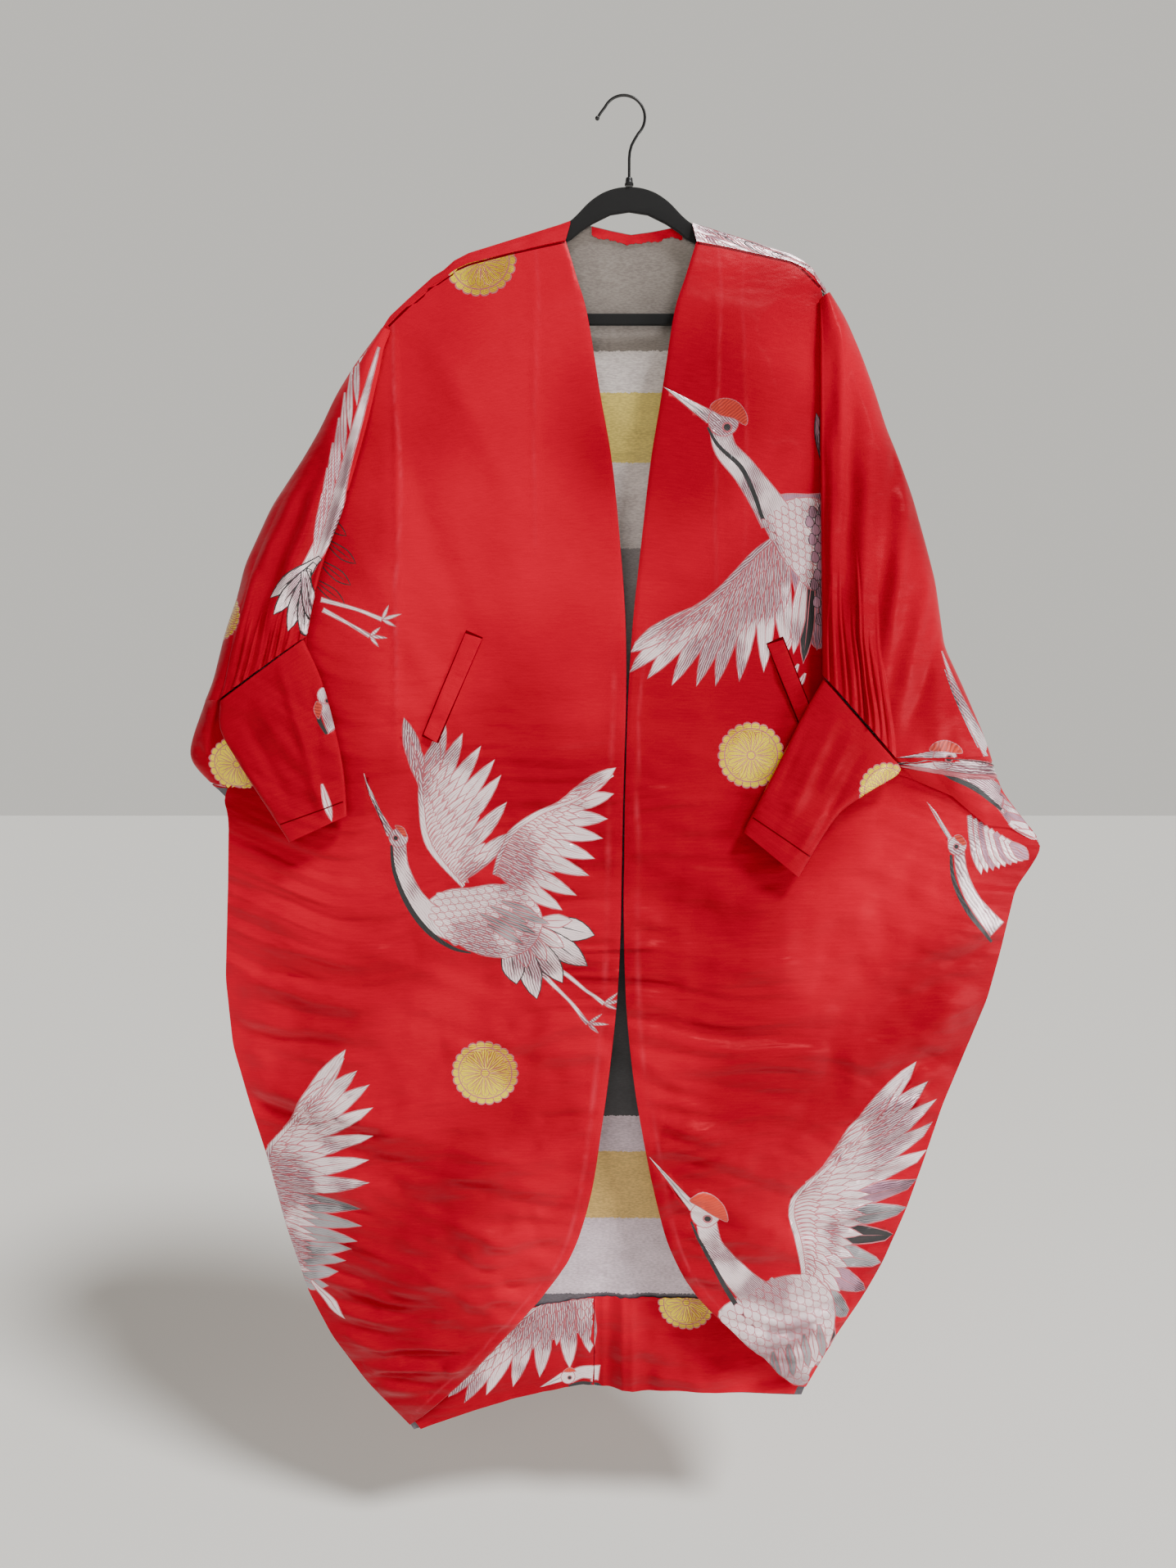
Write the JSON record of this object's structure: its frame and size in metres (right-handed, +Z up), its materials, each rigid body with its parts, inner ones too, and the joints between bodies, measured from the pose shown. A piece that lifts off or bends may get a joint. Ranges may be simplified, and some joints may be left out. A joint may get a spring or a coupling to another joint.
{
  "type": "cocoon coat on a clothes hanger",
  "caption": "Open collarless cocoon coat of red silk brocade with gathered batwing sleeves and tapered cuffs, hanging flat on a slim velvet hanger.",
  "frame": {"origin": "the inner top of the hanger's hook, where it rests on its rail or wall hook", "axes": "+Z up, +X to the viewer's right with the fronts facing the viewer, the fronts facing -Y"},
  "size_m": [0.9566, 0.0704, 1.51],
  "materials": {
    "brocade": "red silk satin brocade, woven with silver, black and gold",
    "satin": "plain red silk satin",
    "velvet": "black velvet flocking",
    "wire": "black coated wire",
    "plastic": "satin black plastic"
  },
  "bodies": {
    "root": {"back": "brocade", "yoke_left": "brocade", "yoke_right": "brocade", "front_left": "brocade", "front_right": "brocade", "sleeve_left": "brocade", "sleeve_right": "brocade", "cuff_left": "satin", "cuff_right": "satin", "welt_left": "satin", "welt_right": "satin", "neck_facing": "satin", "hem_facing_left": "satin", "hem_facing_right": "satin", "hanger_arms": "velvet", "hanger_hook": "wire", "hanger_collar": "plastic", "hanger_hook_tip": "plastic"}
  },
  "joints": []
}
